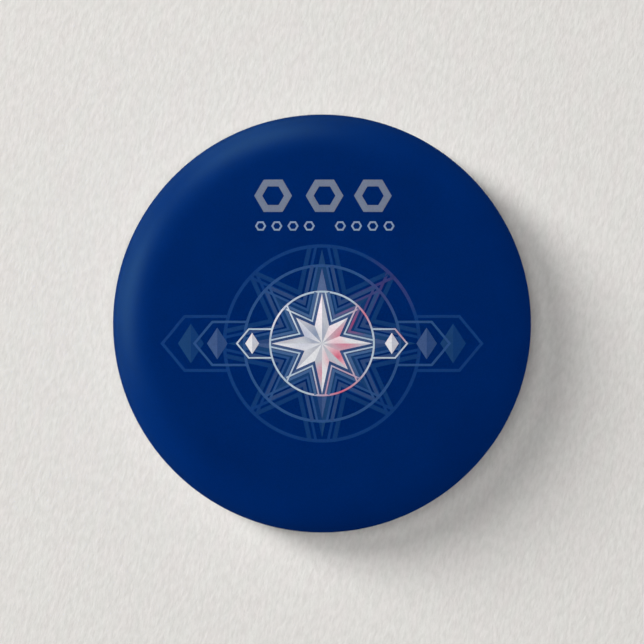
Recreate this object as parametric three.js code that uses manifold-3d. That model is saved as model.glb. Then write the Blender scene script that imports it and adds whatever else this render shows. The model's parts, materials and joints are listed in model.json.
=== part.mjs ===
// Round button badge, 32 mm across, with a riveted brooch bar on its back.
// Millimetres. The badge stands upright as worn: its face looks along -Y, +Z is up,
// and the pin is on the +Y side. The origin is the centre of the flat ring on the
// back, in the plane where cloth lies against the badge.

import * as THREE from 'three';
import { mergeVertices } from 'three/addons/utils/BufferGeometryUtils.js';
import Module from 'manifold-3d';

const wasm = await Module();
wasm.setup();

// Badge body, outside the clear film
const BADGE_R = 16;
const FACE_DOME_R = 100;
const EDGE_ROLL_R = 3.8;
const SIDE_HEIGHT = 0.25;
const REAR_CURL_R = 0.75;

// The three layers that share the dome, and the air between them
const FILM_T = 0.1;
const PAPER_T = 0.12;
const SHELL_T = 0.28;
const LAYER_GAP = 0.03;

// Back plate: a flat ring in the plane y = 0, with a sunk floor that the bar lies on
const PLATE_T = 0.3;
const PLATE_R = 14.42;
const SEAT_INNER_R = 12.35;
const FLOOR_R = 11.5;
const FLOOR_DEPTH = 0.9;
const WALL_SPREAD = 0.12;
const SKIRT_DEPTH = 1.35;
const LIP_R = 14.95;

// Brooch bar and what it carries
const BAR_Z = 3;
const BAR_LENGTH = 20.4;
const BAR_WIDTH = 4.4;
const BAR_T = 0.6;
const REST_GAP = 0.02;
const NEEDLE_Y = 1.45;
const NEEDLE_R = 0.38;
const NEEDLE_POINT_LENGTH = 3.2;
const NEEDLE_END_X = 9.5;
const HINGE_X = -8;
const EYE_R = 0.95;
const EYE_HOLE_R = 0.5;
const EYE_WIDTH = 1.3;
const EAR_R = 1.1;
const EAR_T = 0.5;
const EAR_GAP = 0.1;
const HINGE_PIN_R = 0.44;
const HINGE_HEAD_R = 0.78;
const HINGE_HEAD_T = 0.32;
const EAR_HOLE_R = 0.48;

// Catch: a fixed C-shaped housing round a slotted roller
const HOUSING_START_X = 6.9;
const HOUSING_LENGTH = 2.1;
const HOUSING_R = 1.7;
const HOUSING_BORE_R = 1.27;
const HOUSING_SLOT = 1.2;
const PEDESTAL_WIDTH = 2;
const ROLLER_R = 1.17;
const COLLAR_R = 1.45;
const COLLAR_T = 0.25;
const COLLAR_GAP = 0.03;
const ROLLER_BORE_R = 0.55;
const ROLLER_SLOT = 1;
const TAB_REACH = 2.6;
const TAB_T = 0.5;
const TAB_LENGTH = 0.9;
const TAB_ANGLE = THREE.MathUtils.degToRad(55);

// Rivets through the bar and the plate
const RIVET_X = 4.5;
const RIVET_SHANK_R = 0.7;
const RIVET_HOLE_R = 0.75;
const RIVET_HEAD_R = 1.3;
const RIVET_HEAD_T = 0.45;
const RIVET_TAIL_R = 1.2;
const RIVET_TAIL_T = 0.4;

// Smoothness
const ROUND_SEGMENTS = 48;
const RIVET_SEGMENTS = 20;
const SMALL_SEGMENTS = 16;
const FACE_STEPS = 2;
const ROLL_STEPS = 5;
const CURL_STEPS = 5;
const BEND_STEPS = 3;
const CAP_STEPS = 4;
const POINT_STEPS = 4;
const CUT_MARGIN = 1;

const MATERIALS = {
  film: { color: 0x0a2c66, roughness: 0.35, metalness: 0 },
  paper: { color: 0x05235a, roughness: 0.6, metalness: 0 },
  tinplate: { color: 0xb9bcc0, roughness: 0.35, metalness: 1 },
  nickel: { color: 0xc9c6bf, roughness: 0.25, metalness: 1 },
  steel: { color: 0xd2d4d6, roughness: 0.2, metalness: 1 },
};

// ---------- helpers ----------

function arcPoints(centreX, centreY, radius, startAngle, endAngle, steps) {
  const points = [];
  for (let i = 0; i <= steps; i += 1) {
    const angle = startAngle + ((endAngle - startAngle) * i) / steps;
    points.push(new THREE.Vector2(
      centreX + radius * Math.cos(angle),
      centreY + radius * Math.sin(angle),
    ));
  }
  return points;
}

// A domed cap on an axis along Y, from its rim at baseY to its top; height < 0 domes down
function capPoints(radius, height, baseY) {
  const points = [];
  for (let i = 0; i <= CAP_STEPS; i += 1) {
    const angle = (Math.PI / 2) * (i / CAP_STEPS);
    points.push(new THREE.Vector2(radius * Math.cos(angle), baseY + height * Math.sin(angle)));
  }
  points[CAP_STEPS].x = 0;
  return points;
}

function points2(pairs) {
  return pairs.map(([x, y]) => new THREE.Vector2(x, y));
}

function toSolid(geometry) {
  const bare = geometry.clone();
  bare.deleteAttribute('normal');
  bare.deleteAttribute('uv');
  const merged = mergeVertices(bare);
  const corners = [];
  for (let i = 0; i < merged.index.count; i += 3) {
    const [a, b, c] = [0, 1, 2].map((j) => merged.index.getX(i + j));
    if (a !== b && b !== c && c !== a) corners.push(a, b, c);
  }
  return new wasm.Manifold(new wasm.Mesh({
    numProp: 3,
    vertProperties: new Float32Array(merged.attributes.position.array),
    triVerts: new Uint32Array(corners),
  }));
}

function fromSolid(solid) {
  const mesh = solid.getMesh();
  const geometry = new THREE.BufferGeometry();
  geometry.setAttribute('position', new THREE.BufferAttribute(mesh.vertProperties, 3));
  geometry.setIndex(new THREE.BufferAttribute(mesh.triVerts, 1));
  geometry.computeVertexNormals();
  return geometry;
}

function namedMesh(name, geometry, material) {
  const mesh = new THREE.Mesh(geometry, new THREE.MeshStandardMaterial(MATERIALS[material]));
  mesh.name = name;
  return mesh;
}

// A round bar or hole along Y, X or Z, centred on the origin
function roundAlong(axis, radius, length, segments) {
  const cylinder = new THREE.CylinderGeometry(radius, radius, length, segments);
  if (axis === 'x') cylinder.rotateZ(-Math.PI / 2);
  if (axis === 'z') cylinder.rotateX(Math.PI / 2);
  return cylinder;
}

// A flat outline in X and Z with a thickness along Y, from y = 0 down to -thickness
function slab(shape, thickness, curveSegments) {
  const geometry = new THREE.ExtrudeGeometry(shape, {
    depth: thickness, bevelEnabled: false, curveSegments,
  });
  return geometry.rotateX(Math.PI / 2);
}

// ---------- the three layers of the dome ----------

// Outline of a surface that lies `depth` under the outside of the film, from the
// middle of the face, over the rolled edge, to the end of the curl on the back.
function domeOutline(depth) {
  const rollCentreR = BADGE_R - EDGE_ROLL_R;
  const rollCentreY = -(SIDE_HEIGHT + REAR_CURL_R);
  const between = FACE_DOME_R - EDGE_ROLL_R;
  const domeCentreY = rollCentreY + Math.sqrt(between ** 2 - rollCentreR ** 2);
  const meetAngle = -Math.acos(rollCentreR / between);
  const curlCentreR = BADGE_R - REAR_CURL_R;
  const face = arcPoints(0, domeCentreY, FACE_DOME_R - depth, -Math.PI / 2, meetAngle, FACE_STEPS);
  const roll = arcPoints(rollCentreR, rollCentreY, EDGE_ROLL_R - depth, meetAngle, 0, ROLL_STEPS);
  const curl = arcPoints(curlCentreR, -REAR_CURL_R, REAR_CURL_R - depth, 0, Math.PI, CURL_STEPS);
  face[0].x = 0;
  return [...face, ...roll.slice(1), ...curl];
}

function domeLayer(name, depth, thickness, material) {
  const outline = [...domeOutline(depth), ...domeOutline(depth + thickness).reverse()];
  return namedMesh(name, new THREE.LatheGeometry(outline, ROUND_SEGMENTS), material);
}

function domeLayers() {
  const paperDepth = FILM_T + LAYER_GAP;
  const shellDepth = paperDepth + PAPER_T + LAYER_GAP;
  return [
    domeLayer('clear_film', 0, FILM_T, 'film'),
    domeLayer('artwork_disc', paperDepth, PAPER_T, 'paper'),
    domeLayer('front_shell', shellDepth, SHELL_T, 'tinplate'),
  ];
}

// ---------- back plate ----------

function backPlate() {
  const skirtInnerR = PLATE_R - PLATE_T;
  const outline = [
    ...points2([
      [0, -FLOOR_DEPTH - PLATE_T],
      [FLOOR_R + WALL_SPREAD, -FLOOR_DEPTH - PLATE_T],
      [SEAT_INNER_R + WALL_SPREAD, -PLATE_T],
      [skirtInnerR, -PLATE_T],
      [skirtInnerR, -SKIRT_DEPTH],
      [LIP_R, -SKIRT_DEPTH],
      [LIP_R, -SKIRT_DEPTH + PLATE_T],
      [PLATE_R, -SKIRT_DEPTH + PLATE_T],
    ]),
    ...arcPoints(skirtInnerR, -PLATE_T, PLATE_T, 0, Math.PI / 2, BEND_STEPS),
    ...points2([
      [SEAT_INNER_R, 0],
      [FLOOR_R, -FLOOR_DEPTH],
      [0, -FLOOR_DEPTH],
    ]),
  ];
  let plate = toSolid(new THREE.LatheGeometry(outline, ROUND_SEGMENTS));
  for (const side of [-1, 1]) {
    const hole = roundAlong('y', RIVET_HOLE_R, FLOOR_DEPTH + CUT_MARGIN, RIVET_SEGMENTS);
    hole.translate(side * RIVET_X, -FLOOR_DEPTH, BAR_Z);
    plate = plate.subtract(toSolid(hole));
  }
  return namedMesh('back_plate', fromSolid(plate), 'tinplate');
}

// ---------- brooch bar (its own group stands at z = BAR_Z) ----------

const BAR_TOP_Y = -FLOOR_DEPTH + REST_GAP + BAR_T;

function barStrip() {
  const endR = BAR_WIDTH / 2;
  const straight = BAR_LENGTH / 2 - endR;
  const outline = new THREE.Shape();
  outline.absarc(straight, 0, endR, -Math.PI / 2, Math.PI / 2, false);
  outline.absarc(-straight, 0, endR, Math.PI / 2, (3 * Math.PI) / 2, false);
  return toSolid(slab(outline, BAR_T, SMALL_SEGMENTS / 2).translate(0, BAR_TOP_Y, 0));
}

function hingeEar(side) {
  const outline = new THREE.Shape();
  outline.moveTo(HINGE_X - EAR_R, BAR_TOP_Y - BAR_T / 2);
  outline.lineTo(HINGE_X + EAR_R, BAR_TOP_Y - BAR_T / 2);
  outline.absarc(HINGE_X, NEEDLE_Y, EAR_R, 0, Math.PI, false);
  const ear = new THREE.ExtrudeGeometry(outline, {
    depth: EAR_T, bevelEnabled: false, curveSegments: SMALL_SEGMENTS / 2,
  });
  const innerFace = EYE_WIDTH / 2 + EAR_GAP;
  return toSolid(ear.translate(0, 0, side > 0 ? innerFace : -innerFace - EAR_T));
}

function catchHousing() {
  const middleX = HOUSING_START_X + HOUSING_LENGTH / 2;
  const tube = roundAlong('x', HOUSING_R, HOUSING_LENGTH, ROUND_SEGMENTS / 2);
  const pedestalTop = NEEDLE_Y - HOUSING_BORE_R;
  const pedestalBase = BAR_TOP_Y - BAR_T / 2;
  const pedestal = new THREE.BoxGeometry(
    HOUSING_LENGTH, pedestalTop - pedestalBase, PEDESTAL_WIDTH,
  );
  tube.translate(middleX, NEEDLE_Y, 0);
  pedestal.translate(middleX, (pedestalTop + pedestalBase) / 2, 0);
  return toSolid(tube).add(toSolid(pedestal));
}

function housingOpenings() {
  const middleX = HOUSING_START_X + HOUSING_LENGTH / 2;
  const length = HOUSING_LENGTH + CUT_MARGIN;
  const bore = roundAlong('x', HOUSING_BORE_R, length, ROUND_SEGMENTS / 2);
  const slot = new THREE.BoxGeometry(length, HOUSING_R + CUT_MARGIN, HOUSING_SLOT);
  bore.translate(middleX, NEEDLE_Y, 0);
  slot.translate(middleX, NEEDLE_Y + (HOUSING_R + CUT_MARGIN) / 2, 0);
  return toSolid(bore).add(toSolid(slot));
}

function pinBar() {
  let bar = barStrip().add(hingeEar(1)).add(hingeEar(-1)).add(catchHousing());
  bar = bar.subtract(housingOpenings());
  const earHole = roundAlong('z', EAR_HOLE_R, BAR_WIDTH, SMALL_SEGMENTS);
  bar = bar.subtract(toSolid(earHole.translate(HINGE_X, NEEDLE_Y, 0)));
  for (const side of [-1, 1]) {
    const hole = roundAlong('y', RIVET_HOLE_R, BAR_T + CUT_MARGIN, RIVET_SEGMENTS);
    bar = bar.subtract(toSolid(hole.translate(side * RIVET_X, BAR_TOP_Y - BAR_T / 2, 0)));
  }
  return namedMesh('pin_bar', fromSolid(bar), 'nickel');
}

function barRivet(name, x) {
  const headBase = BAR_TOP_Y + REST_GAP;
  const tailBase = -FLOOR_DEPTH - PLATE_T - REST_GAP;
  const outline = [
    ...capPoints(RIVET_TAIL_R, -RIVET_TAIL_T, tailBase).reverse(),
    ...points2([[RIVET_SHANK_R, tailBase], [RIVET_SHANK_R, headBase]]),
    ...capPoints(RIVET_HEAD_R, RIVET_HEAD_T, headBase),
  ];
  const rivet = namedMesh(name, new THREE.LatheGeometry(outline, RIVET_SEGMENTS), 'nickel');
  rivet.position.x = x;
  return rivet;
}

function hingeRivet() {
  const earOuter = EYE_WIDTH / 2 + EAR_GAP + EAR_T + REST_GAP;
  const outline = [
    ...capPoints(HINGE_HEAD_R, -HINGE_HEAD_T, -earOuter).reverse(),
    ...points2([[HINGE_PIN_R, -earOuter], [HINGE_PIN_R, earOuter]]),
    ...capPoints(HINGE_HEAD_R, HINGE_HEAD_T, earOuter),
  ];
  const geometry = new THREE.LatheGeometry(outline, SMALL_SEGMENTS).rotateX(Math.PI / 2);
  const rivet = namedMesh('hinge_rivet', geometry, 'nickel');
  rivet.position.set(HINGE_X, NEEDLE_Y, 0);
  return rivet;
}

function pinNeedle() {
  const length = NEEDLE_END_X - HINGE_X;
  const shaftOutline = points2([[0, EYE_HOLE_R], [NEEDLE_R, EYE_HOLE_R]]);
  for (let i = 0; i <= POINT_STEPS; i += 1) {
    const along = i / POINT_STEPS;
    const y = length - NEEDLE_POINT_LENGTH * (1 - along);
    shaftOutline.push(new THREE.Vector2(NEEDLE_R * (1 - along ** 2), y));
  }
  const shaft = new THREE.LatheGeometry(shaftOutline, SMALL_SEGMENTS).rotateZ(-Math.PI / 2);
  const eye = roundAlong('z', EYE_R, EYE_WIDTH, SMALL_SEGMENTS);
  const hole = roundAlong('z', EYE_HOLE_R, EYE_WIDTH + CUT_MARGIN, SMALL_SEGMENTS);
  const needle = toSolid(shaft).add(toSolid(eye)).subtract(toSolid(hole));
  const mesh = namedMesh('pin_needle', fromSolid(needle), 'steel');
  mesh.position.set(HINGE_X, NEEDLE_Y, 0);
  return mesh;
}

function catchRoller() {
  // Two collars hold the barrel in the housing: a thin one inboard, and one under the tab
  const innerEnd = HOUSING_START_X - COLLAR_GAP - COLLAR_T;
  const tabStart = HOUSING_START_X + HOUSING_LENGTH + COLLAR_GAP;
  const outerEnd = tabStart + TAB_LENGTH;
  const outline = points2([
    [0, innerEnd],
    [COLLAR_R, innerEnd],
    [COLLAR_R, innerEnd + COLLAR_T],
    [ROLLER_R, innerEnd + COLLAR_T],
    [ROLLER_R, tabStart],
    [COLLAR_R, tabStart],
    [COLLAR_R, outerEnd],
    [0, outerEnd],
  ]);
  const barrel = new THREE.LatheGeometry(outline, ROUND_SEGMENTS / 2).rotateZ(-Math.PI / 2);
  const length = outerEnd - innerEnd + CUT_MARGIN;
  const middleX = (innerEnd + outerEnd) / 2;
  const bore = roundAlong('x', ROLLER_BORE_R, length, SMALL_SEGMENTS).translate(middleX, 0, 0);
  const slot = new THREE.BoxGeometry(length, COLLAR_R + CUT_MARGIN, ROLLER_SLOT);
  slot.translate(middleX, (COLLAR_R + CUT_MARGIN) / 2, 0);
  const tabRoot = (COLLAR_R + ROLLER_BORE_R) / 2;
  const tab = new THREE.BoxGeometry(TAB_LENGTH, TAB_REACH - tabRoot, TAB_T);
  tab.translate(tabStart + TAB_LENGTH / 2, (TAB_REACH + tabRoot) / 2, 0);
  tab.rotateX(-TAB_ANGLE);
  const roller = toSolid(barrel).subtract(toSolid(bore)).subtract(toSolid(slot)).add(toSolid(tab));
  const mesh = namedMesh('catch_roller', fromSolid(roller), 'nickel');
  mesh.position.y = NEEDLE_Y;
  return mesh;
}

function pinAssembly() {
  const group = new THREE.Group();
  group.position.z = BAR_Z;
  group.add(
    pinBar(),
    barRivet('bar_rivet_left', -RIVET_X),
    barRivet('bar_rivet_right', RIVET_X),
    hingeRivet(),
    pinNeedle(),
    catchRoller(),
  );
  return group;
}

// ---------- assembly ----------

const badge = new THREE.Group();
badge.add(...domeLayers(), backPlate(), pinAssembly());

export default badge;
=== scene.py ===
"""Button badge, 32 mm across, with a riveted brooch bar on its back.

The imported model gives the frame: +Y out of the back, +Z up, the printed face towards -Y.
Lengths in this script are millimetres, turned into Blender's metres by MM.
"""

import json
import math

import bmesh
import bpy
from mathutils import Matrix, Vector
from mathutils.geometry import tessellate_polygon

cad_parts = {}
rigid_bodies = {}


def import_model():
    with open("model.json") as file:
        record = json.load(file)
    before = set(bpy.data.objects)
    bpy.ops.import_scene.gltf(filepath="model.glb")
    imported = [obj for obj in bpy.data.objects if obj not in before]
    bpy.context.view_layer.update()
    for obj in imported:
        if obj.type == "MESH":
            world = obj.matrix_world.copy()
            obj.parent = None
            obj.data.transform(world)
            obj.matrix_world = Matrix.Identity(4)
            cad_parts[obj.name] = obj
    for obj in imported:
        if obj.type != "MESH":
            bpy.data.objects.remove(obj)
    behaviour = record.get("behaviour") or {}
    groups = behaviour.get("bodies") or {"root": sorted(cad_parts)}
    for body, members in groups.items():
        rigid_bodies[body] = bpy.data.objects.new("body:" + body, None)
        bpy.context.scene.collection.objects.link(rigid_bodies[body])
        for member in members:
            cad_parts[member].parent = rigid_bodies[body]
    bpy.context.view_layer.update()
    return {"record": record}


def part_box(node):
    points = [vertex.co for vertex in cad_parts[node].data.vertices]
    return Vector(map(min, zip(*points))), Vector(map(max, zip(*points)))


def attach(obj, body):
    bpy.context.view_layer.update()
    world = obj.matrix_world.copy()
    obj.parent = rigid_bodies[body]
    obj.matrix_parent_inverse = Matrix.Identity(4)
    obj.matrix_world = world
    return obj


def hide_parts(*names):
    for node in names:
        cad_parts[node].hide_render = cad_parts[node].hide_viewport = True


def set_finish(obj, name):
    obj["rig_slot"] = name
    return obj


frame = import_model()

MM = 0.001

# ---------- sizes, from the frame and from the badge's own dimensions ----------


def box_mm(node):
    """The lowest and highest corners of a CAD node, in millimetres."""
    low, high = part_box(node)
    return low / MM, high / MM


def outer_radius(node):
    """Half of a CAD node's width."""
    low, high = box_mm(node)
    return (high.x - low.x) / 2


BADGE_R = outer_radius("clear_film")
FACE_DOME_R = 100.0
EDGE_ROLL_R = 3.8
SIDE_HEIGHT = 0.25
REAR_CURL_R = 0.75

# the film is thin and the print close under it, so that no clear margin shows at the outline
FILM_T = 0.03
PRINT_DEPTH = 0.06
PAPER_T = 0.19
SHELL_T = 0.28
SHELL_DEPTH = BADGE_R - outer_radius("front_shell")

# ---------- camera ----------

CAMERA_DISTANCE = 300.0
FRAME_WIDTH = 49.3
SENSOR = 36.0
CAMERA_LIFT = 0.115


def make_camera():
    """A long lens straight in front of the face, as wide as FRAME_WIDTH at the badge."""
    data = bpy.data.cameras.new("camera")
    data.sensor_width = SENSOR
    data.lens = SENSOR * CAMERA_DISTANCE / FRAME_WIDTH
    data.clip_start = 10 * MM
    data.clip_end = 5000 * MM
    camera = bpy.data.objects.new("camera", data)
    bpy.context.scene.collection.objects.link(camera)
    camera.location = Vector((0, -CAMERA_DISTANCE, CAMERA_LIFT)) * MM
    camera.rotation_euler = (math.pi / 2, 0, 0)
    bpy.context.scene.camera = camera
    bpy.context.scene.view_settings.view_transform = "Standard"


make_camera()

# ---------- mesh helpers ----------


def arc(centre_x, centre_y, radius, start, end, steps):
    """Points along an arc, angles in radians from the x axis."""
    turns = [start + (end - start) * i / steps for i in range(steps + 1)]
    return [(centre_x + radius * math.cos(t), centre_y + radius * math.sin(t)) for t in turns]


def new_object(name, bm):
    """A linked object from a bmesh in millimetres, with its faces turned outwards."""
    bmesh.ops.recalc_face_normals(bm, faces=bm.faces)
    bmesh.ops.scale(bm, vec=(MM, MM, MM), verts=bm.verts)
    mesh = bpy.data.meshes.new(name)
    bm.to_mesh(mesh)
    bm.free()
    obj = bpy.data.objects.new(name, mesh)
    bpy.context.scene.collection.objects.link(obj)
    return obj


# where a point at radius r, angle a and a distance along each axis goes
AXES = {
    "x": lambda r, a, along: (along, r * math.cos(a), r * math.sin(a)),
    "y": lambda r, a, along: (r * math.cos(a), along, r * math.sin(a)),
    "z": lambda r, a, along: (r * math.cos(a), r * math.sin(a), along),
}


ON_AXIS = 1e-6


def lathe(name, outline, segments, axis="y", at=(0, 0, 0), nudge=None):
    """A closed solid turned about an axis. The outline starts and ends on it, as (radius, along).

    nudge(index, angle), if given, moves a point of the outline by a small (radius, along).
    """
    bm = bmesh.new()
    place = AXES[axis]
    rings = []
    for index, (radius, along) in enumerate(outline):
        if radius < ON_AXIS:
            rings.append([bm.verts.new(place(0, 0, along))] * segments)
            continue
        ring = []
        for i in range(segments):
            angle = 2 * math.pi * i / segments
            more_r, more_along = nudge(index, angle) if nudge else (0, 0)
            ring.append(bm.verts.new(place(radius + more_r, angle, along + more_along)))
        rings.append(ring)
    for ring_a, ring_b in zip(rings, rings[1:]):
        for i in range(segments):
            j = (i + 1) % segments
            corners = dict.fromkeys((ring_a[i], ring_a[j], ring_b[j], ring_b[i]))
            bm.faces.new(list(corners))
    bmesh.ops.translate(bm, verts=bm.verts, vec=at)
    return new_object(name, bm)


def shifted(points, amount, closed=True):
    """The outline moved to its left by amount, with mitred corners."""
    moved = []
    last = len(points) - 1
    for i, point in enumerate(points):
        sides = []
        if closed or i > 0:
            sides.append(Vector(point) - Vector(points[i - 1]))
        if closed or i < last:
            sides.append(Vector(points[i + 1 if i < last else 0]) - Vector(point))
        lefts = [Vector((-side.y, side.x)).normalized() for side in sides]
        mitre = lefts[0] + lefts[-1]
        moved.append(tuple(Vector(point) + mitre * (2 * amount / mitre.length_squared)))
    return moved


def filleted(corners, closed=True, steps=6):
    """An outline of (x, y, radius) corners, with each corner rounded to its radius."""
    points = []
    last = len(corners) - 1
    for i, (x, y, radius) in enumerate(corners):
        here = Vector((x, y))
        if radius == 0 or (not closed and i in (0, last)):
            points.append((x, y))
            continue
        to_last = (Vector(corners[i - 1][:2]) - here).normalized()
        to_next = (Vector(corners[i + 1 if i < last else 0][:2]) - here).normalized()
        half = to_last.angle(to_next) / 2
        centre = here + (to_last + to_next).normalized() * (radius / math.sin(half))
        start = here + to_last * (radius / math.tan(half)) - centre
        swing = math.copysign(math.pi - 2 * half, start.x * to_next.y - start.y * to_next.x)
        first = math.atan2(start.y, start.x)
        points += arc(centre.x, centre.y, radius, first, first + swing, steps)
    return points


EDGE_STEPS = 3


def stamped(name, loops, low, high, edge, place):
    """A plate cut to an outline and its holes, from low to high, with its edges rounded.

    The outline runs anticlockwise and a hole clockwise, so that left is into the metal.
    place(u, v, w) gives the point for a place in the outline and a height in the plate.
    """
    bm = bmesh.new()
    rows = []
    for i in range(EDGE_STEPS + 1):
        turn = math.pi / 2 * i / EDGE_STEPS
        rows.append((edge * (1 - math.sin(turn)), low + edge * (1 - math.cos(turn))))
    rows += [(inset, low + high - w) for inset, w in reversed(rows)]
    ends = [[], []]
    for loop in loops:
        rings = [[bm.verts.new(place(u, v, w)) for u, v in shifted(loop, inset)]
                 for inset, w in rows]
        for ring_a, ring_b in zip(rings, rings[1:]):
            for i in range(len(loop)):
                bm.faces.new((ring_a[i - 1], ring_a[i], ring_b[i], ring_b[i - 1]))
        ends[0] += rings[0]
        ends[1] += rings[-1]
    flat = [[Vector((*point, 0)) for point in shifted(loop, edge)] for loop in loops]
    for corners in tessellate_polygon(flat):
        for end in ends:
            bm.faces.new([end[i] for i in corners])
    return new_object(name, bm)


def carved(base, other, operation):
    """base joined with other, or cut by it; other is used up."""
    step = base.modifiers.new("carve", "BOOLEAN")
    step.operation = operation
    step.solver = "EXACT"
    step.object = other
    bpy.context.view_layer.update()
    worked = base.evaluated_get(bpy.context.evaluated_depsgraph_get())
    mesh = bpy.data.meshes.new_from_object(worked)
    base.modifiers.clear()
    base.data = mesh
    bpy.data.objects.remove(other)
    return base


def circle(radius, count, x=0.0, y=0.0):
    """An anticlockwise circle of count points."""
    return arc(x, y, radius, 0, 2 * math.pi * (1 - 1 / count), count - 1)


# ---------- node material helpers ----------


class Paint:
    """Builds one node material: a Principled surface and the patterns that feed it."""

    def __init__(self, name):
        self.material = bpy.data.materials.new(name)
        self.material.use_nodes = True
        self.tree = self.material.node_tree
        self.surface = self.tree.nodes["Principled BSDF"]
        self.output = self.tree.nodes["Material Output"]
        self.place = self.tree.nodes.new("ShaderNodeTexCoord").outputs["Object"]

    def node(self, kind, settings=None, **inputs):
        """A node with some settings; inputs are values or sockets, by name with _ for a space."""
        made = self.tree.nodes.new("ShaderNode" + kind)
        for key, value in (settings or {}).items():
            setattr(made, key, value)
        for key, value in inputs.items():
            self.feed(made.inputs[key.replace("_", " ")], value)
        return made

    def feed(self, socket, value):
        """Links a socket to an input, or sets the input to a value."""
        if isinstance(value, bpy.types.NodeSocket):
            self.tree.links.new(value, socket)
        else:
            socket.default_value = value

    def noise(self, per_mm, detail=2.0, roughness=0.5, stretch=(1, 1, 1), turn=(0, 0, 0)):
        """Noise with about per_mm features a millimetre, drawn out by stretch on turned axes."""
        where = self.node("Mapping", {"vector_type": "TEXTURE"}, Vector=self.place, Rotation=turn,
                          Scale=tuple(s * MM / per_mm for s in stretch))
        made = self.node("TexNoise", Vector=where.outputs["Vector"], Scale=1.0, Detail=detail,
                         Roughness=roughness)
        return made.outputs["Fac"]

    def ramp(self, fac, stops):
        """A colour or grey ramp; stops are (position, colour or level)."""
        made = self.node("ValToRGB", Fac=fac)
        elements = made.color_ramp.elements
        while len(elements) < len(stops):
            elements.new(1.0)
        for element, (position, value) in zip(elements, stops):
            element.position = position
            element.color = (*value, 1) if isinstance(value, tuple) else (value, value, value, 1)
        return made.outputs["Color"]

    def blend(self, fac, a, b, how="MIX"):
        """Colours a and b put together by fac; each is a colour or a socket."""
        made = self.node("Mix", {"data_type": "RGBA", "blend_type": how})
        for index, value in ((0, fac), (6, a), (7, b)):
            if isinstance(value, tuple):
                value = (*value, 1)
            self.feed(made.inputs[index], value)
        return made.outputs[2]

    def math(self, operation, a, b=0.0):
        made = self.node("Math", {"operation": operation})
        self.feed(made.inputs[0], a)
        self.feed(made.inputs[1], b)
        return made.outputs[0]

    def bump(self, height, micrometres):
        """A normal that shows a height of 0 to 1 as a relief this many micrometres deep."""
        made = self.node("Bump", Height=height, Distance=micrometres * MM / 1000, Strength=1.0)
        return made.outputs["Normal"]

    def front_only(self, front):
        """Makes front the look of outward faces and leaves faces seen from inside clear."""
        clear = self.node("BsdfTransparent")
        inside = self.node("NewGeometry").outputs["Backfacing"]
        sided = self.node("MixShader", Fac=inside)
        self.feed(sided.inputs[1], front)
        self.feed(sided.inputs[2], clear.outputs[0])
        self.feed(self.output.inputs["Surface"], sided.outputs[0])
        return self.material

    def set(self, **inputs):
        """Feeds the Principled surface's inputs, by name with _ for a space."""
        for key, value in inputs.items():
            if isinstance(value, tuple) and len(value) == 3:
                value = (*value, 1)
            self.feed(self.surface.inputs[key.replace("_", " ")], value)
        return self.material


SHARP_ANGLE = math.radians(40)


def place_piece(obj, body, material, slot, node=None):
    """Smooth shading, a material, the body it rides on and the record's slot."""
    obj.data.materials.clear()
    obj.data.materials.append(material)
    for polygon in obj.data.polygons:
        polygon.use_smooth = True
    obj.data.set_sharp_from_angle(angle=SHARP_ANGLE)
    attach(obj, body)
    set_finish(obj, slot)
    if node:
        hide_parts(node)
    return obj


# ---------- film, paper and shell: three layers over one dome ----------

DOME_SEGMENTS = 384
FACE_STEPS = 24
ROLL_STEPS = 18
CURL_STEPS = 20
PLEATS = 64
PLEAT_HEIGHT = 0.03
PLEAT_DRIFT = 1.6
PLEAT_DRIFT_WAVES = 5
PLEAT_FADE = 0.3
PLEAT_FADE_WAVES = 9

ROLL_CENTRE_R = BADGE_R - EDGE_ROLL_R
ROLL_CENTRE_Y = -(SIDE_HEIGHT + REAR_CURL_R)
DOME_CENTRE_Y = ROLL_CENTRE_Y + math.sqrt((FACE_DOME_R - EDGE_ROLL_R) ** 2 - ROLL_CENTRE_R**2)


def dome_outline(depth):
    """The surface that lies depth under the outside, from the face's middle to the curl's end."""
    meet = -math.acos(ROLL_CENTRE_R / (FACE_DOME_R - EDGE_ROLL_R))
    face = arc(0, DOME_CENTRE_Y, FACE_DOME_R - depth, -math.pi / 2, meet, FACE_STEPS)
    roll = arc(ROLL_CENTRE_R, ROLL_CENTRE_Y, EDGE_ROLL_R - depth, meet, 0, ROLL_STEPS)
    curl = arc(BADGE_R - REAR_CURL_R, -REAR_CURL_R, REAR_CURL_R - depth, 0, math.pi, CURL_STEPS)
    return [(0, face[0][1])] + face[1:] + roll[1:] + curl


def pleat(index, angle):
    """How far the film and paper stand off where they are gathered into the crimp.

    The outline runs out along a layer's outside and back along its inside, so that the second
    half of the points mirrors the first.
    """
    curl_start = FACE_STEPS + ROLL_STEPS + 1
    points = curl_start + CURL_STEPS + 1
    if index >= points:
        index = 2 * points - 1 - index
    along = max(0, index - curl_start) / CURL_STEPS
    drift = PLEAT_DRIFT * math.sin(PLEAT_DRIFT_WAVES * angle)
    fade = 1 - PLEAT_FADE + PLEAT_FADE * math.sin(PLEAT_FADE_WAVES * angle)
    height = PLEAT_HEIGHT * along**2 * math.sin(PLEATS * angle + drift) * fade
    turn = along * math.pi
    return height * math.cos(turn), height * math.sin(turn)


def dome_layer(name, depth, thickness, segments, nudge=None):
    """A closed layer of a thickness whose outside lies depth under the badge's outside."""
    outline = dome_outline(depth) + dome_outline(depth + thickness)[::-1]
    return lathe(name, outline, segments, nudge=nudge)


# colours here and below are linear red, green and blue
NAVY = (0.0, 0.0140, 0.0960)
NAVY_DARKEST = (0.0, 0.0130, 0.0905)
NAVY_PALEST = (0.0, 0.0150, 0.1015)
NAVY_GRAIN = 0.10
NAVY_GRAIN_UM = 0.4
INK_ROUGHNESS = 0.75
FILM_IOR = 1.10
FILM_MOST_GLOSS = 0.022
FILM_ROUGHNESS = (0.40, 0.46)
FILM_PEEL_UM = 0.4


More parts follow.
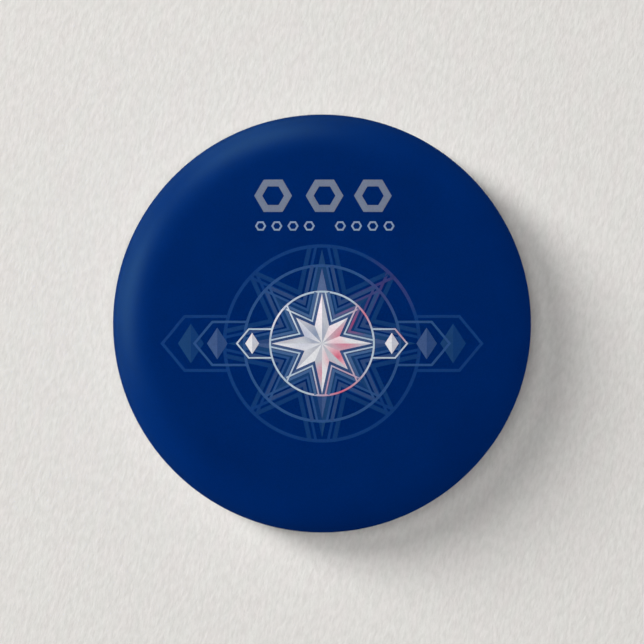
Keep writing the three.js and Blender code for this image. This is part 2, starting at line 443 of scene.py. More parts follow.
def film_material():
    """Clear satin film: what lies under it, and a soft gloss kept low at grazing angles."""
    paint = Paint("clear_satin_film")
    peel = paint.bump(paint.noise(0.8, detail=1.0), FILM_PEEL_UM)
    haze = paint.ramp(paint.noise(0.25, detail=2.0),
                      [(0.3, FILM_ROUGHNESS[0]), (0.7, FILM_ROUGHNESS[1])])
    clear = paint.node("BsdfTransparent")
    gloss = paint.node("BsdfGlossy", Roughness=haze, Normal=peel)
    fresnel = paint.node("Fresnel", IOR=FILM_IOR).outputs["Fac"]
    coat = paint.node("MixShader", Fac=paint.math("MINIMUM", fresnel, FILM_MOST_GLOSS))
    paint.feed(coat.inputs[1], clear.outputs[0])
    paint.feed(coat.inputs[2], gloss.outputs[0])
    return paint.front_only(coat.outputs[0])


def print_material():
    """Deep navy ink on smooth paper, with the faint unevenness of a printed solid."""
    paint = Paint("navy_print")
    cloud = paint.noise(0.18, detail=3.0)
    grain = paint.noise(9.0, detail=2.0)
    tone = paint.ramp(cloud, [(0.3, NAVY_DARKEST), (0.7, NAVY_PALEST)])
    tone = paint.blend(NAVY_GRAIN, tone, paint.ramp(grain, [(0.35, 0.0), (0.65, NAVY)]))
    return paint.set(Base_Color=tone, Roughness=INK_ROUGHNESS, Specular_IOR_Level=0.0,
                     Normal=paint.bump(grain, NAVY_GRAIN_UM))


film = dome_layer("film", 0, FILM_T, DOME_SEGMENTS, pleat)
place_piece(film, "badge", film_material(), "clear_film", "clear_film")
print_disc = dome_layer("print_disc", PRINT_DEPTH, PAPER_T, DOME_SEGMENTS, pleat)
place_piece(print_disc, "badge", print_material(), "printed_paper", "artwork_disc")

# ---------- metals ----------

TARNISH = (0.20, 0.18, 0.16)
TARNISH_MOST = 0.45
CROSSING_DEPTH = 0.20
STREAK_ROUGHNESS = 0.12


def metal_material(name, dull, bright, rough, brushed, bump_um):
    """Plated metal: cloudy tone, fine lines along brushed, crossing scratches, worn gloss."""
    paint = Paint(name)
    cloud = paint.noise(0.3, detail=4.0)
    lines = paint.noise(7.0, detail=3.0, stretch=brushed)
    crossing = paint.noise(3.5, detail=1.0, stretch=brushed[::-1])
    specks = paint.noise(5.0, detail=3.0, roughness=0.7)
    tone = paint.ramp(cloud, [(0.32, dull), (0.68, bright)])
    tone = paint.blend(paint.ramp(specks, [(0.64, 0.0), (0.74, TARNISH_MOST)]), tone, TARNISH)
    scratches = paint.ramp(crossing, [(0.64, 0.0), (0.76, CROSSING_DEPTH)])
    streak = paint.math("ADD", lines, scratches)
    gloss = paint.math("ADD", paint.ramp(cloud, [(0.3, rough[0]), (0.7, rough[1])]),
                       paint.ramp(streak, [(0.4, 0.0), (0.9, STREAK_ROUGHNESS)]))
    return paint.set(Base_Color=tone, Metallic=1.0, Roughness=gloss,
                     Normal=paint.bump(streak, bump_um))


TINPLATE = metal_material("tinplate", dull=(0.56, 0.56, 0.56), bright=(0.65, 0.65, 0.64),
                          rough=(0.26, 0.33), brushed=(1, 1, 30), bump_um=0.35)
NICKEL = metal_material("nickel_plate", dull=(0.56, 0.53, 0.48), bright=(0.74, 0.71, 0.66),
                        rough=(0.16, 0.26), brushed=(20, 1, 1), bump_um=0.8)
NEEDLE_STEEL = metal_material("needle_steel", dull=(0.60, 0.61, 0.62), bright=(0.76, 0.77, 0.78),
                              rough=(0.12, 0.20), brushed=(40, 1, 1), bump_um=0.5)

SHELL_SEGMENTS = 192

shell = dome_layer("shell", SHELL_DEPTH, SHELL_T, SHELL_SEGMENTS)
place_piece(shell, "badge", TINPLATE, "tinplate", "front_shell")

# ---------- back plate ----------

PLATE_T = 0.3
PLATE_SEGMENTS = 256
FLOOR_R = 11.5
FLOOR_DEPTH = 0.9
SEAT_INNER_R = 12.35
WALL_SPREAD = 0.12
PLATE_R = 14.42
SKIRT_DEPTH = 1.35
BEND_R = 0.12
BAR_Z = 3.0
RIVET_X = 4.5
RIVET_HOLE_R = 0.75
HOLE_SEGMENTS = 48


def rivet_places():
    """The middle of each bar rivet, with y left at 0."""
    return [(side * RIVET_X, 0, BAR_Z) for side in (-1, 1)]


def make_back_plate():
    """A pressed plate: sunk floor, sloped wall, flat ring to sit on cloth, skirt and lip."""
    lip_r = outer_radius("back_plate")
    wide = BEND_R + PLATE_T
    outline = filleted([
        (0, -FLOOR_DEPTH, 0),
        (FLOOR_R, -FLOOR_DEPTH, BEND_R),
        (SEAT_INNER_R, 0, wide),
        (PLATE_R, 0, wide),
        (PLATE_R, PLATE_T - SKIRT_DEPTH, BEND_R),
        (lip_r, PLATE_T - SKIRT_DEPTH, PLATE_T / 3),
        (lip_r, -SKIRT_DEPTH, PLATE_T / 3),
        (PLATE_R - PLATE_T, -SKIRT_DEPTH, wide),
        (PLATE_R - PLATE_T, -PLATE_T, BEND_R),
        (SEAT_INNER_R + WALL_SPREAD, -PLATE_T, BEND_R),
        (FLOOR_R + WALL_SPREAD, -FLOOR_DEPTH - PLATE_T, wide),
        (0, -FLOOR_DEPTH - PLATE_T, 0),
    ], closed=False)
    plate = lathe("plate", outline, PLATE_SEGMENTS)
    for x, _, z in rivet_places():
        punch = lathe("punch", [(0, -2 * FLOOR_DEPTH), (RIVET_HOLE_R, -2 * FLOOR_DEPTH),
                                (RIVET_HOLE_R, 0), (0, 0)], HOLE_SEGMENTS, at=(x, 0, z))
        carved(plate, punch, "DIFFERENCE")
    return place_piece(plate, "badge", TINPLATE, "tinplate", "back_plate")


make_back_plate()

# ---------- brooch bar with its ears and catch housing ----------

BAR_T = 0.6
BAR_WIDTH = 4.4
REST_GAP = 0.02
BAR_TOP_Y = -FLOOR_DEPTH + REST_GAP + BAR_T
HINGE = frame["record"]["behaviour"]["joints"][0]["pos_m"]
HINGE_X = HINGE[0] / MM
NEEDLE_Y = HINGE[1] / MM
EYE_R = 0.95
EYE_HOLE_R = 0.5
EYE_WIDTH = 1.3
EAR_R = 1.1
EAR_T = 0.5
EAR_GAP = 0.1
EAR_HOLE_R = 0.48
HOUSING_START_X = 6.9
HOUSING_LENGTH = 2.1
HOUSING_R = 1.7
HOUSING_BORE_R = 1.27
HOUSING_SLOT = 1.2
NECK_WIDTH = 2.0
FLARE_R = 0.25
FLARE_SINK = 0.02
SHEET_EDGE_R = 0.12
HALF_TURN_STEPS = 32
SMALL_HOLE_SEGMENTS = 40
LIP_STEPS = 8
FLARE_STEPS = 6
HOUSING_SIDE_STEPS = 28


def bar_strip():
    """The flat strip with round ends and a hole for each rivet."""
    low, high = box_mm("pin_bar")
    end_r = BAR_WIDTH / 2
    straight = (high.x - low.x) / 2 - end_r
    outline = arc(straight, 0, end_r, -math.pi / 2, math.pi / 2, HALF_TURN_STEPS)
    outline += arc(-straight, 0, end_r, math.pi / 2, 1.5 * math.pi, HALF_TURN_STEPS)
    holes = [circle(RIVET_HOLE_R, HOLE_SEGMENTS, x)[::-1] for x, _, _ in rivet_places()]
    return stamped("bar", [outline, *holes], BAR_TOP_Y - BAR_T, BAR_TOP_Y, SHEET_EDGE_R,
                   lambda u, v, w: (u, w, v + BAR_Z))


def flare_foot(x, side):
    """The outline where a wall at x flares out onto the bar, from the wall down into the bar."""
    top = BAR_TOP_Y - FLARE_SINK
    start, end = (math.pi, 1.5 * math.pi) if side > 0 else (0, -math.pi / 2)
    curve = arc(x + side * FLARE_R, top + FLARE_R, FLARE_R, start, end, FLARE_STEPS)
    return curve + [(x + side * FLARE_R, BAR_TOP_Y - BAR_T / 2)]


def hinge_ear(side):
    """A round-topped ear above (side 1) or below (side -1) the needle's eye."""
    outline = arc(HINGE_X, NEEDLE_Y, EAR_R, 0, math.pi, HALF_TURN_STEPS)
    outline += flare_foot(HINGE_X - EAR_R, -1)
    outline += flare_foot(HINGE_X + EAR_R, 1)[::-1]
    hole = circle(EAR_HOLE_R, SMALL_HOLE_SEGMENTS, HINGE_X, NEEDLE_Y)[::-1]
    near = EYE_WIDTH / 2 + EAR_GAP
    low = near if side > 0 else -near - EAR_T
    return stamped("ear", [outline, hole], BAR_Z + low, BAR_Z + low + EAR_T, SHEET_EDGE_R,
                   lambda u, v, w: (u, v, w))


def catch_housing():
    """A C round the roller, open away from the bar, with rounded lips and a short neck."""
    middle_r = (HOUSING_R + HOUSING_BORE_R) / 2
    lip_r = (HOUSING_R - HOUSING_BORE_R) / 2
    mouth = math.acos((HOUSING_SLOT / 2 + lip_r) / middle_r)
    neck = -math.acos(NECK_WIDTH / 2 / HOUSING_R)
    lip_x = middle_r * math.cos(mouth)
    lip_y = NEEDLE_Y + middle_r * math.sin(mouth)
    outline = flare_foot(NECK_WIDTH / 2, 1)[::-1]
    outline += arc(0, NEEDLE_Y, HOUSING_R, neck, mouth, HOUSING_SIDE_STEPS)
    outline += arc(lip_x, lip_y, lip_r, mouth, mouth + math.pi, LIP_STEPS)[1:-1]
    outline += arc(0, NEEDLE_Y, HOUSING_BORE_R, mouth, -math.pi - mouth, 2 * HOUSING_SIDE_STEPS)
    outline += arc(-lip_x, lip_y, lip_r, -mouth, math.pi - mouth, LIP_STEPS)[1:-1]
    outline += arc(0, NEEDLE_Y, HOUSING_R, math.pi - mouth, math.pi - neck, HOUSING_SIDE_STEPS)
    outline += flare_foot(-NECK_WIDTH / 2, -1)
    return stamped("housing", [outline], HOUSING_START_X, HOUSING_START_X + HOUSING_LENGTH,
                   SHEET_EDGE_R, lambda u, v, w: (w, v, BAR_Z + u))


def make_pin_bar():
    """The strip with its two ears and the catch housing joined to it."""
    bar = bar_strip()
    for part in (hinge_ear(1), hinge_ear(-1), catch_housing()):
        carved(bar, part, "UNION")
    return place_piece(bar, "badge", NICKEL, "nickel_plate", "pin_bar")


make_pin_bar()

# ---------- rivets ----------

RIVET_SEGMENTS = 72
RIVET_SHANK_R = 0.7
RIVET_HEAD_R = 1.3
RIVET_HEAD_T = 0.45
RIVET_TAIL_R = 1.2
RIVET_TAIL_T = 0.4
DIMPLE_R = 0.42
DIMPLE_DEPTH = 0.14
HINGE_PIN_R = 0.44
HINGE_HEAD_R = 0.78
HINGE_HEAD_T = 0.32
HEAD_RIM_SHARE = 0.3
HEAD_STEPS = 14
DIMPLE_CLEARANCE = 1.4
DIMPLE_RINGS = (1.15, 1.0, 0.8, 0.6, 0.4, 0.2, 0.0)


def riveted_head(radius, height, shank_r):
    """A low domed head with a punch dimple, from the shank to the axis, as (radius, height)."""
    rim = height * HEAD_RIM_SHARE
    under = [(shank_r, 0), (radius - rim / 2, 0), (radius - rim / 6, rim / 3)]
    dome = [(radius * x, rim + (height - rim) * y)
            for x, y in arc(0, 0, 1, 0, math.pi / 2, HEAD_STEPS)]
    dimple_r = DIMPLE_R * radius / RIVET_HEAD_R
    outside = [point for point in dome if point[0] > dimple_r * DIMPLE_CLEARANCE]
    dimple = [(dimple_r * s, height - DIMPLE_DEPTH * math.cos(s * math.pi / 2) ** 2)
              for s in DIMPLE_RINGS]
    return under + outside + dimple


def two_headed(name, low, high, tail, head, axis, at):
    """A rivet along an axis, its heads' undersides at low and high."""
    outline = [(r, low - h) for r, h in tail[::-1]] + [(r, high + h) for r, h in head]
    return lathe(name, outline, RIVET_SEGMENTS, axis=axis, at=at)


def make_rivets():
    """The two rivets that hold the bar, and the hinge pin across the ears."""
    head = riveted_head(RIVET_HEAD_R, RIVET_HEAD_T, RIVET_SHANK_R)
    tail = riveted_head(RIVET_TAIL_R, RIVET_TAIL_T, RIVET_SHANK_R)
    low = -FLOOR_DEPTH - PLATE_T - REST_GAP
    for side, place in zip(("left", "right"), rivet_places()):
        rivet = two_headed(f"rivet_{side}", low, BAR_TOP_Y + REST_GAP, tail, head, "y", place)
        place_piece(rivet, "badge", NICKEL, "nickel_plate", f"bar_rivet_{side}")
    end = riveted_head(HINGE_HEAD_R, HINGE_HEAD_T, HINGE_PIN_R)
    reach = EYE_WIDTH / 2 + EAR_GAP + EAR_T + REST_GAP
    pin = two_headed("hinge_pin", -reach, reach, end, end, "z", (HINGE_X, NEEDLE_Y, BAR_Z))
    place_piece(pin, "badge", NICKEL, "nickel_plate", "hinge_rivet")


make_rivets()

# ---------- needle ----------

NEEDLE_R = 0.38
NEEDLE_POINT_LENGTH = 3.2
NECK_R = 0.62
NECK_LENGTH = 1.3
NEEDLE_SEGMENTS = 48
NECK_STEPS = 12
POINT_STEPS = 24
EYE_SEGMENTS = 56


def make_needle():
    """A round wire that thickens into its pierced eye and is ground to a long point."""
    length = box_mm("pin_needle")[1].x - HINGE_X
    start = (EYE_R + EYE_HOLE_R) / 2
    outline = [(0, start)]
    for i in range(NECK_STEPS + 1):
        t = i / NECK_STEPS
        outline.append((NEEDLE_R + (NECK_R - NEEDLE_R) * (1 - t) ** 2, start + NECK_LENGTH * t))
    for i in range(POINT_STEPS + 1):
        t = i / POINT_STEPS
        outline.append((NEEDLE_R * (1 - t**2), length - NEEDLE_POINT_LENGTH * (1 - t)))
    needle = lathe("needle", outline, NEEDLE_SEGMENTS, axis="x", at=(HINGE_X, NEEDLE_Y, BAR_Z))
    eye = stamped("eye", [circle(EYE_R, EYE_SEGMENTS, HINGE_X, NEEDLE_Y)],
                  BAR_Z - EYE_WIDTH / 2, BAR_Z + EYE_WIDTH / 2, SHEET_EDGE_R,
                  lambda u, v, w: (u, v, w))
    carved(needle, eye, "UNION")
    bore = stamped("bore", [circle(EYE_HOLE_R, SMALL_HOLE_SEGMENTS, HINGE_X, NEEDLE_Y)],
                   BAR_Z - EYE_WIDTH, BAR_Z + EYE_WIDTH, SHEET_EDGE_R,
                   lambda u, v, w: (u, v, w))
    carved(needle, bore, "DIFFERENCE")
    return place_piece(needle, "needle", NEEDLE_STEEL, "needle_steel", "pin_needle")


make_needle()

# ---------- catch roller ----------

ROLLER_R = 1.17
COLLAR_R = 1.45
COLLAR_T = 0.25
COLLAR_GAP = 0.03
ROLLER_BORE_R = 0.55
ROLLER_SLOT = 1.0
TAB_REACH = 2.6
TAB_T = 0.5
TAB_LENGTH = 0.9
TAB_ANGLE = math.radians(55)
TAB_ROOT = 1.0
GROOVES = (1.72, 1.94, 2.16)
GROOVE_HALF = 0.1
GROOVE_DEPTH = 0.09
GROOVE_STEPS = 8
COLLAR_EDGE = 0.07
ROLLER_SEGMENTS = 96
KEYHOLE_STEPS = 36
KEYHOLE_EDGE = 0.01
KEYHOLE_TOP = COLLAR_R * 1.5
TAB_TIP_STEPS = 16


def roller_barrel():
    """The turned barrel with a collar beyond each end of the housing, the outer one the longer."""
    inner_end = HOUSING_START_X - COLLAR_GAP - COLLAR_T
    tab_start = HOUSING_START_X + HOUSING_LENGTH + COLLAR_GAP
    outer_end = tab_start + TAB_LENGTH
    outline = filleted([
        (0, inner_end, 0),
        (COLLAR_R, inner_end, COLLAR_EDGE),
        (COLLAR_R, inner_end + COLLAR_T, COLLAR_EDGE),
        (ROLLER_R, inner_end + COLLAR_T, 0),
        (ROLLER_R, tab_start, 0),
        (COLLAR_R, tab_start, COLLAR_EDGE),
        (COLLAR_R, outer_end, COLLAR_EDGE * 2),
        (0, outer_end, 0),
    ], closed=False)
    return lathe("roller", outline, ROLLER_SEGMENTS, axis="x", at=(0, NEEDLE_Y, BAR_Z))


def keyhole():
    """The roller's bore and slot in one, a little longer than the roller."""
    low, high = box_mm("catch_roller")
    half = ROLLER_SLOT / 2
    start = math.asin(half / ROLLER_BORE_R)
    outline = arc(0, 0, ROLLER_BORE_R, math.pi / 2 + start, 2.5 * math.pi - start, KEYHOLE_STEPS)
    outline += [(half, KEYHOLE_TOP), (-half, KEYHOLE_TOP)]
    return stamped("keyhole", [outline], low.x - 1, high.x + 1, KEYHOLE_EDGE,
                   lambda u, v, w: (w, NEEDLE_Y + v, BAR_Z + u))


def thumb_tab():
    """A short lever with a round end and three grip grooves on each side."""
    half = TAB_T / 2
    side = [(half, TAB_ROOT)]
    for middle in GROOVES:
        for i in range(GROOVE_STEPS + 1):
            along = (2 * i / GROOVE_STEPS - 1) * GROOVE_HALF
            cut = GROOVE_DEPTH / 2 * (1 + math.cos(math.pi * along / GROOVE_HALF))
            side.append((half - cut, middle + along))
    tip = arc(0, TAB_REACH - half, half, 0, math.pi, TAB_TIP_STEPS)
    outline = side + tip + [(-u, v) for u, v in side[::-1]]
    start = HOUSING_START_X + HOUSING_LENGTH + COLLAR_GAP
    turn = Matrix.Rotation(-TAB_ANGLE, 3, "X")

    def place(u, v, w):
        point = turn @ Vector((w, v, u))
        return point + Vector((0, NEEDLE_Y, BAR_Z))

    return stamped("tab", [outline], start, start + TAB_LENGTH, SHEET_EDGE_R, place)


def make_roller():
    """The barrel, cut by the keyhole and joined with its tab; it rides on the catch."""
    roller = carved(roller_barrel(), keyhole(), "DIFFERENCE")
    carved(roller, thumb_tab(), "UNION")
    return place_piece(roller, "catch", NICKEL, "nickel_plate", "catch_roller")


make_roller()

# ---------- printed artwork: thin skins of ink on the paper, under the film ----------

INK_T = 0.005
INK_LIFT = 0.002
INK_LEVEL = 0.007
INK_GRID = 1.0
CUT_TOLERANCE = 1e-5


def on_dome(x, z, depth):
    """The point under the face at x and z that lies depth below the outside."""
    under = math.sqrt((FACE_DOME_R - depth) ** 2 - x * x - z * z)
    return Vector((x, DOME_CENTRE_Y - under, z))


def grid_cuts(bm, axis):
    """Cuts a flat mesh at every INK_GRID along an axis, so that it can follow the dome."""
    places = [v.co[axis] for v in bm.verts]
    line = math.ceil(min(places) / INK_GRID) * INK_GRID
    while line < max(places):
        normal = Vector((0, 0, 0))
        normal[axis] = 1
        bmesh.ops.bisect_plane(bm, geom=bm.verts[:] + bm.edges[:] + bm.faces[:],
                               plane_co=normal * line, plane_no=normal, dist=CUT_TOLERANCE)
        line += INK_GRID


def ink(name, shapes, level, material):
    """Shapes printed in one ink. A shape is an outline in x and z, and its holes.

    A higher level lies nearer to the outside, so that it covers the levels under it.
    """
    bm = bmesh.new()
    for loops in shapes:
        verts = [bm.verts.new((x, 0, z)) for loop in loops for x, z in loop]
        flat = [[Vector((*point, 0)) for point in loop] for loop in loops]
        for corners in tessellate_polygon(flat):
            bm.faces.new([verts[i] for i in corners])
    grid_cuts(bm, 0)
    grid_cuts(bm, 2)
    under = PRINT_DEPTH - INK_LIFT - level * INK_LEVEL
    front = list(bm.verts)
    back = {v: bm.verts.new(on_dome(v.co.x, v.co.z, under)) for v in front}
    rims = [e for e in bm.edges if e.is_boundary]
    for face in list(bm.faces):
        bm.faces.new([back[v] for v in reversed(face.verts)])
    for rim in rims:
        a, b = rim.verts
        bm.faces.new((a, b, back[b], back[a]))
    for v in front:
        v.co = on_dome(v.co.x, v.co.z, under - INK_T)
    return place_piece(new_object(name, bm), "badge", material, "printed_paper")


def stroke(path, width):
    """The shape of a line of a width along an open path."""
    return [shifted(path, width / 2, False) + shifted(path, -width / 2, False)[::-1]]


def outlined(points, width):
    """The shape of a closed line, its width inside the points, which run anticlockwise."""
    return [points, shifted(points, width)[::-1]]


def turned(points, angle):
    """The points turned anticlockwise about the origin."""
    cos = math.cos(angle)
    sin = math.sin(angle)
    return [(x * cos - z * sin, x * sin + z * cos) for x, z in points]


EMBLEM_Z = -1.5
EMBLEM_LEVEL = 2
RING_R = 3.9
RING_WIDTH = 0.14
RING_SEGMENTS = 144
STAR_POINTS = 8
STAR_STEP = 2 * math.pi / STAR_POINTS
LONG_TIP = 3.78
SHORT_TIP = 2.75
STAR_NOTCH = 1.42
LINE_CONTOUR = {"offset": 0.26, "width": 0.11}
BAND_CONTOUR = {"offset": 0.50, "width": 0.18}
ECHO_SCALES = (1.88, 1.5)
WING_SHOULDER = 5.5
WING_TIP = 6.4
WING_HALF = 1.08
WING_WIDTH = 0.12
DIAMOND_X = 5.25
DIAMOND_HALF = (0.52, 0.80)


def ring():
    outside = circle(RING_R + RING_WIDTH / 2, RING_SEGMENTS)
    inside = circle(RING_R - RING_WIDTH / 2, RING_SEGMENTS)
    return [[outside, inside[::-1]]]


def star_facets(light):
    """The left (light) or right halves of the star's points, long and short by turns."""
    shapes = []
    for k in range(STAR_POINTS):
        tip = (0, SHORT_TIP if k % 2 else LONG_TIP)
        notch = turned([(0, STAR_NOTCH)], STAR_STEP / 2 if light else -STAR_STEP / 2)[0]
        shapes.append([turned([(0, 0), tip, notch], STAR_STEP * k)])
    return shapes


def reach_ring(inner, outer):
    """The point on the line from inner through outer that lies on the ring."""
    inner = Vector(inner)
    step = Vector(outer) - inner
    middle = inner.dot(step) / step.length_squared
    room = middle**2 - (inner.length_squared - RING_R**2) / step.length_squared
    return tuple(inner + step * (math.sqrt(room) - middle))


def contours(offset, width):
    """Angled lines that follow the star's edges round each notch, out to the ring."""
    notch = turned([(0, STAR_NOTCH)], STAR_STEP / 2)[0]
    shapes = []
    for k in range(STAR_POINTS):
        tips = (SHORT_TIP, LONG_TIP) if k % 2 else (LONG_TIP, SHORT_TIP)
        edges = [(0, tips[0]), notch, turned([(0, tips[1])], STAR_STEP)[0]]
        start, corner, end = shifted(edges, -offset, closed=False)
        line = [reach_ring(corner, start), corner, reach_ring(corner, end)]
        shapes.append(stroke(turned(line, STAR_STEP * k), width))
    return shapes


def wings():
    """A pointed frame on each side of the ring."""
    start = math.sqrt(RING_R**2 - WING_HALF**2)
    path = [(start, WING_HALF), (WING_SHOULDER, WING_HALF), (WING_TIP, 0),
            (WING_SHOULDER, -WING_HALF), (start, -WING_HALF)]
    return [stroke([(side * x, z) for x, z in path], WING_WIDTH) for side in (-1, 1)]


def diamonds(light):
    """The left (light) or right half of the small diamond in each wing."""
    half_x, half_z = DIAMOND_HALF
    side = -1 if light else 1
    return [[[(x, half_z), (x, -half_z), (x + side * half_x, 0)]] for x in (-DIAMOND_X, DIAMOND_X)]


def emblem_shapes(scale):
    """The emblem's lines, bands, light halves and dark halves, at a scale, where it is printed."""
    groups = (
        ring() + wings() + contours(**LINE_CONTOUR),
        contours(**BAND_CONTOUR),
        star_facets(True) + diamonds(True),
        star_facets(False) + diamonds(False),
    )
    return [[[[(x * scale, EMBLEM_Z + z * scale) for x, z in loop] for loop in loops]
             for loops in shapes] for shapes in groups]


INK_GRAIN_DARKEST = 0.90


def ink_material(name, base, spots=()):
    """Print with a fine grain, its colour shaded towards other colours round some places.

    A spot is (x, z, radius, colour), in millimetres, with z from the emblem's middle.
    """
    paint = Paint(name)
    tone = base
    for x, z, radius, colour in spots:
        gap = paint.node("VectorMath", {"operation": "DISTANCE"})
        flat = paint.node("VectorMath", {"operation": "MULTIPLY"})
        paint.feed(flat.inputs[0], paint.place)
        paint.feed(flat.inputs[1], (1, 0, 1))
        paint.feed(gap.inputs[0], flat.outputs[0])
        paint.feed(gap.inputs[1], Vector((x, 0, EMBLEM_Z + z)) * MM)
        near = paint.math("DIVIDE", gap.outputs["Value"], radius * MM)
        tone = paint.blend(paint.ramp(near, [(0.0, 1.0), (1.0, 0.0)]), tone, colour)
    grain = paint.ramp(paint.noise(8.0, detail=2.0), [(0.35, INK_GRAIN_DARKEST), (0.65, 1.0)])
    tone = paint.blend(1.0, tone, grain, "MULTIPLY")
    return paint.set(Base_Color=tone, Roughness=INK_ROUGHNESS, Specular_IOR_Level=0.0)


RED = (0.55, 0.10, 0.17)
ROSE = (0.74, 0.50, 0.56)
SLATE = (0.20, 0.25, 0.36)


def print_emblem():
    """A faceted star in a ring, with a pointed wing on each side."""
    line_ink = ink_material("silver_line_ink", (0.34, 0.42, 0.50), [
        (1.5, -3.6, 2.6, (0.42, 0.10, 0.16)),
        (3.2, 2.2, 1.3, (0.45, 0.14, 0.20)),
        (-3.0, 1.8, 1.6, (0.62, 0.66, 0.70)),
        (6.2, 0.9, 1.1, (0.40, 0.10, 0.15)),
    ])
    light_ink = ink_material("silver_ink", (0.60, 0.60, 0.62), [
        (0, 2.4, 1.8, (0.78, 0.70, 0.74)),
        (-1.4, 0.6, 1.4, (0.38, 0.41, 0.52)),
        (1.0, 0.6, 0.9, ROSE),
        (1.2, -1.0, 1.4, RED),
    ])
    dark_ink = ink_material("shaded_silver_ink", (0.40, 0.41, 0.46), [
        (-0.5, 0.7, 1.1, SLATE),
        (1.7, 0.4, 1.5, RED),
        (0.4, -2.2, 1.1, RED),
        (-1.6, -0.4, 1.0, (0.52, 0.54, 0.58)),
    ])
    band_ink = ink_material("slate_band_ink", (0.045, 0.10, 0.22), [
        (2.2, 1.6, 1.5, (0.22, 0.05, 0.13)),
    ])
    lines, bands, lights, darks = emblem_shapes(scale=1.0)
    ink("emblem_lines", lines, EMBLEM_LEVEL, line_ink)
    ink("emblem_bands", bands, EMBLEM_LEVEL, band_ink)
    ink("star_light", lights, EMBLEM_LEVEL, light_ink)
    ink("star_dark", darks, EMBLEM_LEVEL, dark_ink)


ECHO_WARM = (0.045, 0.035, 0.135)
ECHO_WARM_SPOT = (2.4, 2.0, 1.6)
ECHO_TIP_SPOT = (0, 2.9, 1.6)
ECHO_INKS = {
    "far": {"line": (0.0056, 0.032, 0.138), "light": (0.0095, 0.040, 0.127),
            "dark": (0.0055, 0.031, 0.122), "tip": (0.011, 0.041, 0.130)},
    "near": {"line": (0.020, 0.062, 0.178), "light": (0.040, 0.075, 0.178),
             "dark": (0.022, 0.052, 0.150), "tip": (0.080, 0.118, 0.235)},
}


def print_echoes():
    """Two larger, fainter echoes of the emblem behind it, the far one at the lowest level."""
    for level, (scale, tag) in enumerate(zip(ECHO_SCALES, ECHO_INKS)):
        inks = ECHO_INKS[tag]
        top = (*(v * scale for v in ECHO_TIP_SPOT), inks["tip"])
        warm = (*(v * scale for v in ECHO_WARM_SPOT), ECHO_WARM)
        line_ink = ink_material(f"{tag}_line_ink", inks["line"], [warm])
        band_ink = ink_material(f"{tag}_band_ink", inks["dark"])
        light_ink = ink_material(f"{tag}_light_ink", inks["light"], [top])
        dark_ink = ink_material(f"{tag}_dark_ink", inks["dark"], [top])
        lines, bands, lights, darks = emblem_shapes(scale)
        ink(f"{tag}_echo_lines", lines, level, line_ink)
        ink(f"{tag}_echo_bands", bands, level, band_ink)
        ink(f"{tag}_echo_light", lights, level, light_ink)
        ink(f"{tag}_echo_dark", darks, level, dark_ink)


TOP_ROW_X = (-3.68, 0.19, 3.83)
TOP_ROW_Z = 9.62
TOP_ROW_HALF = (1.42, 1.22)
TOP_ROW_WIDTH = 0.52
SMALL_ROW_Z = 7.34
SMALL_ROW_HALF = (0.42, 0.35)
SMALL_ROW_WIDTH = 0.13
SMALL_ROW_START = -4.62
SMALL_ROW_STEP = 1.22
SMALL_ROW_COUNT = 8
SMALL_ROW_GROUP = 4
SMALL_ROW_BREAK = 1.12
ROW_LEVEL = 0
GREY_INK = (0.132, 0.157, 0.220)
PALE_GREY_INK = (0.185, 0.240, 0.345)


def hexagon(x, z, half):
    """A hexagon with points to the left and right, running anticlockwise."""
    half_x, half_z = half
    return [(x + half_x * math.cos(t), z + half_z * math.sin(t) / math.sin(math.pi / 3))
            for t in [math.pi / 3 * k for k in range(6)]]


def print_rows():
    """A row of three wide grey hexagons over a row of eight small ones, in two groups."""
    wide = [outlined(hexagon(x, TOP_ROW_Z, TOP_ROW_HALF), TOP_ROW_WIDTH) for x in TOP_ROW_X]
    ink("top_row", wide, ROW_LEVEL, ink_material("grey_ink", GREY_INK))
    small = []
    for k in range(SMALL_ROW_COUNT):
        gap = SMALL_ROW_BREAK if k >= SMALL_ROW_GROUP else 0
        x = SMALL_ROW_START + SMALL_ROW_STEP * k + gap
        small.append(outlined(hexagon(x, SMALL_ROW_Z, SMALL_ROW_HALF), SMALL_ROW_WIDTH))
    ink("small_row", small, ROW_LEVEL, ink_material("pale_grey_ink", PALE_GREY_INK))


print_echoes()
print_emblem()
print_rows()

# ---------- stage ----------

SHEET_GAP = 0.15
SHEET_HALF = 250.0
STAGE_FLOOR_Z = -60.0
STAGE_FLOOR_HALF = 900.0
SHEET_GRAIN_LEAN = math.radians(14)
SHEET_FIBRES = ((0.800, 0.777, 0.746), (0.900, 0.874, 0.844))
SHEET_TINTS = ((0.86, 0.80, 0.78), (0.82, 0.86, 0.80))
SHEET_TINT_SHARE = 0.18
SHEET_RELIEF_UM = 45
STAGE_FLOOR_TONES = (0.72, 0.76)


def flat_square(name, corners):
    """A one-faced stage surface."""
    bm = bmesh.new()
    bm.faces.new([bm.verts.new(c) for c in corners])
    bmesh.ops.scale(bm, vec=(MM, MM, MM), verts=bm.verts)
    mesh = bpy.data.meshes.new(name)
    bm.to_mesh(mesh)
    bm.free()
    obj = bpy.data.objects.new(name, mesh)
    bpy.context.scene.collection.objects.link(obj)
    return obj


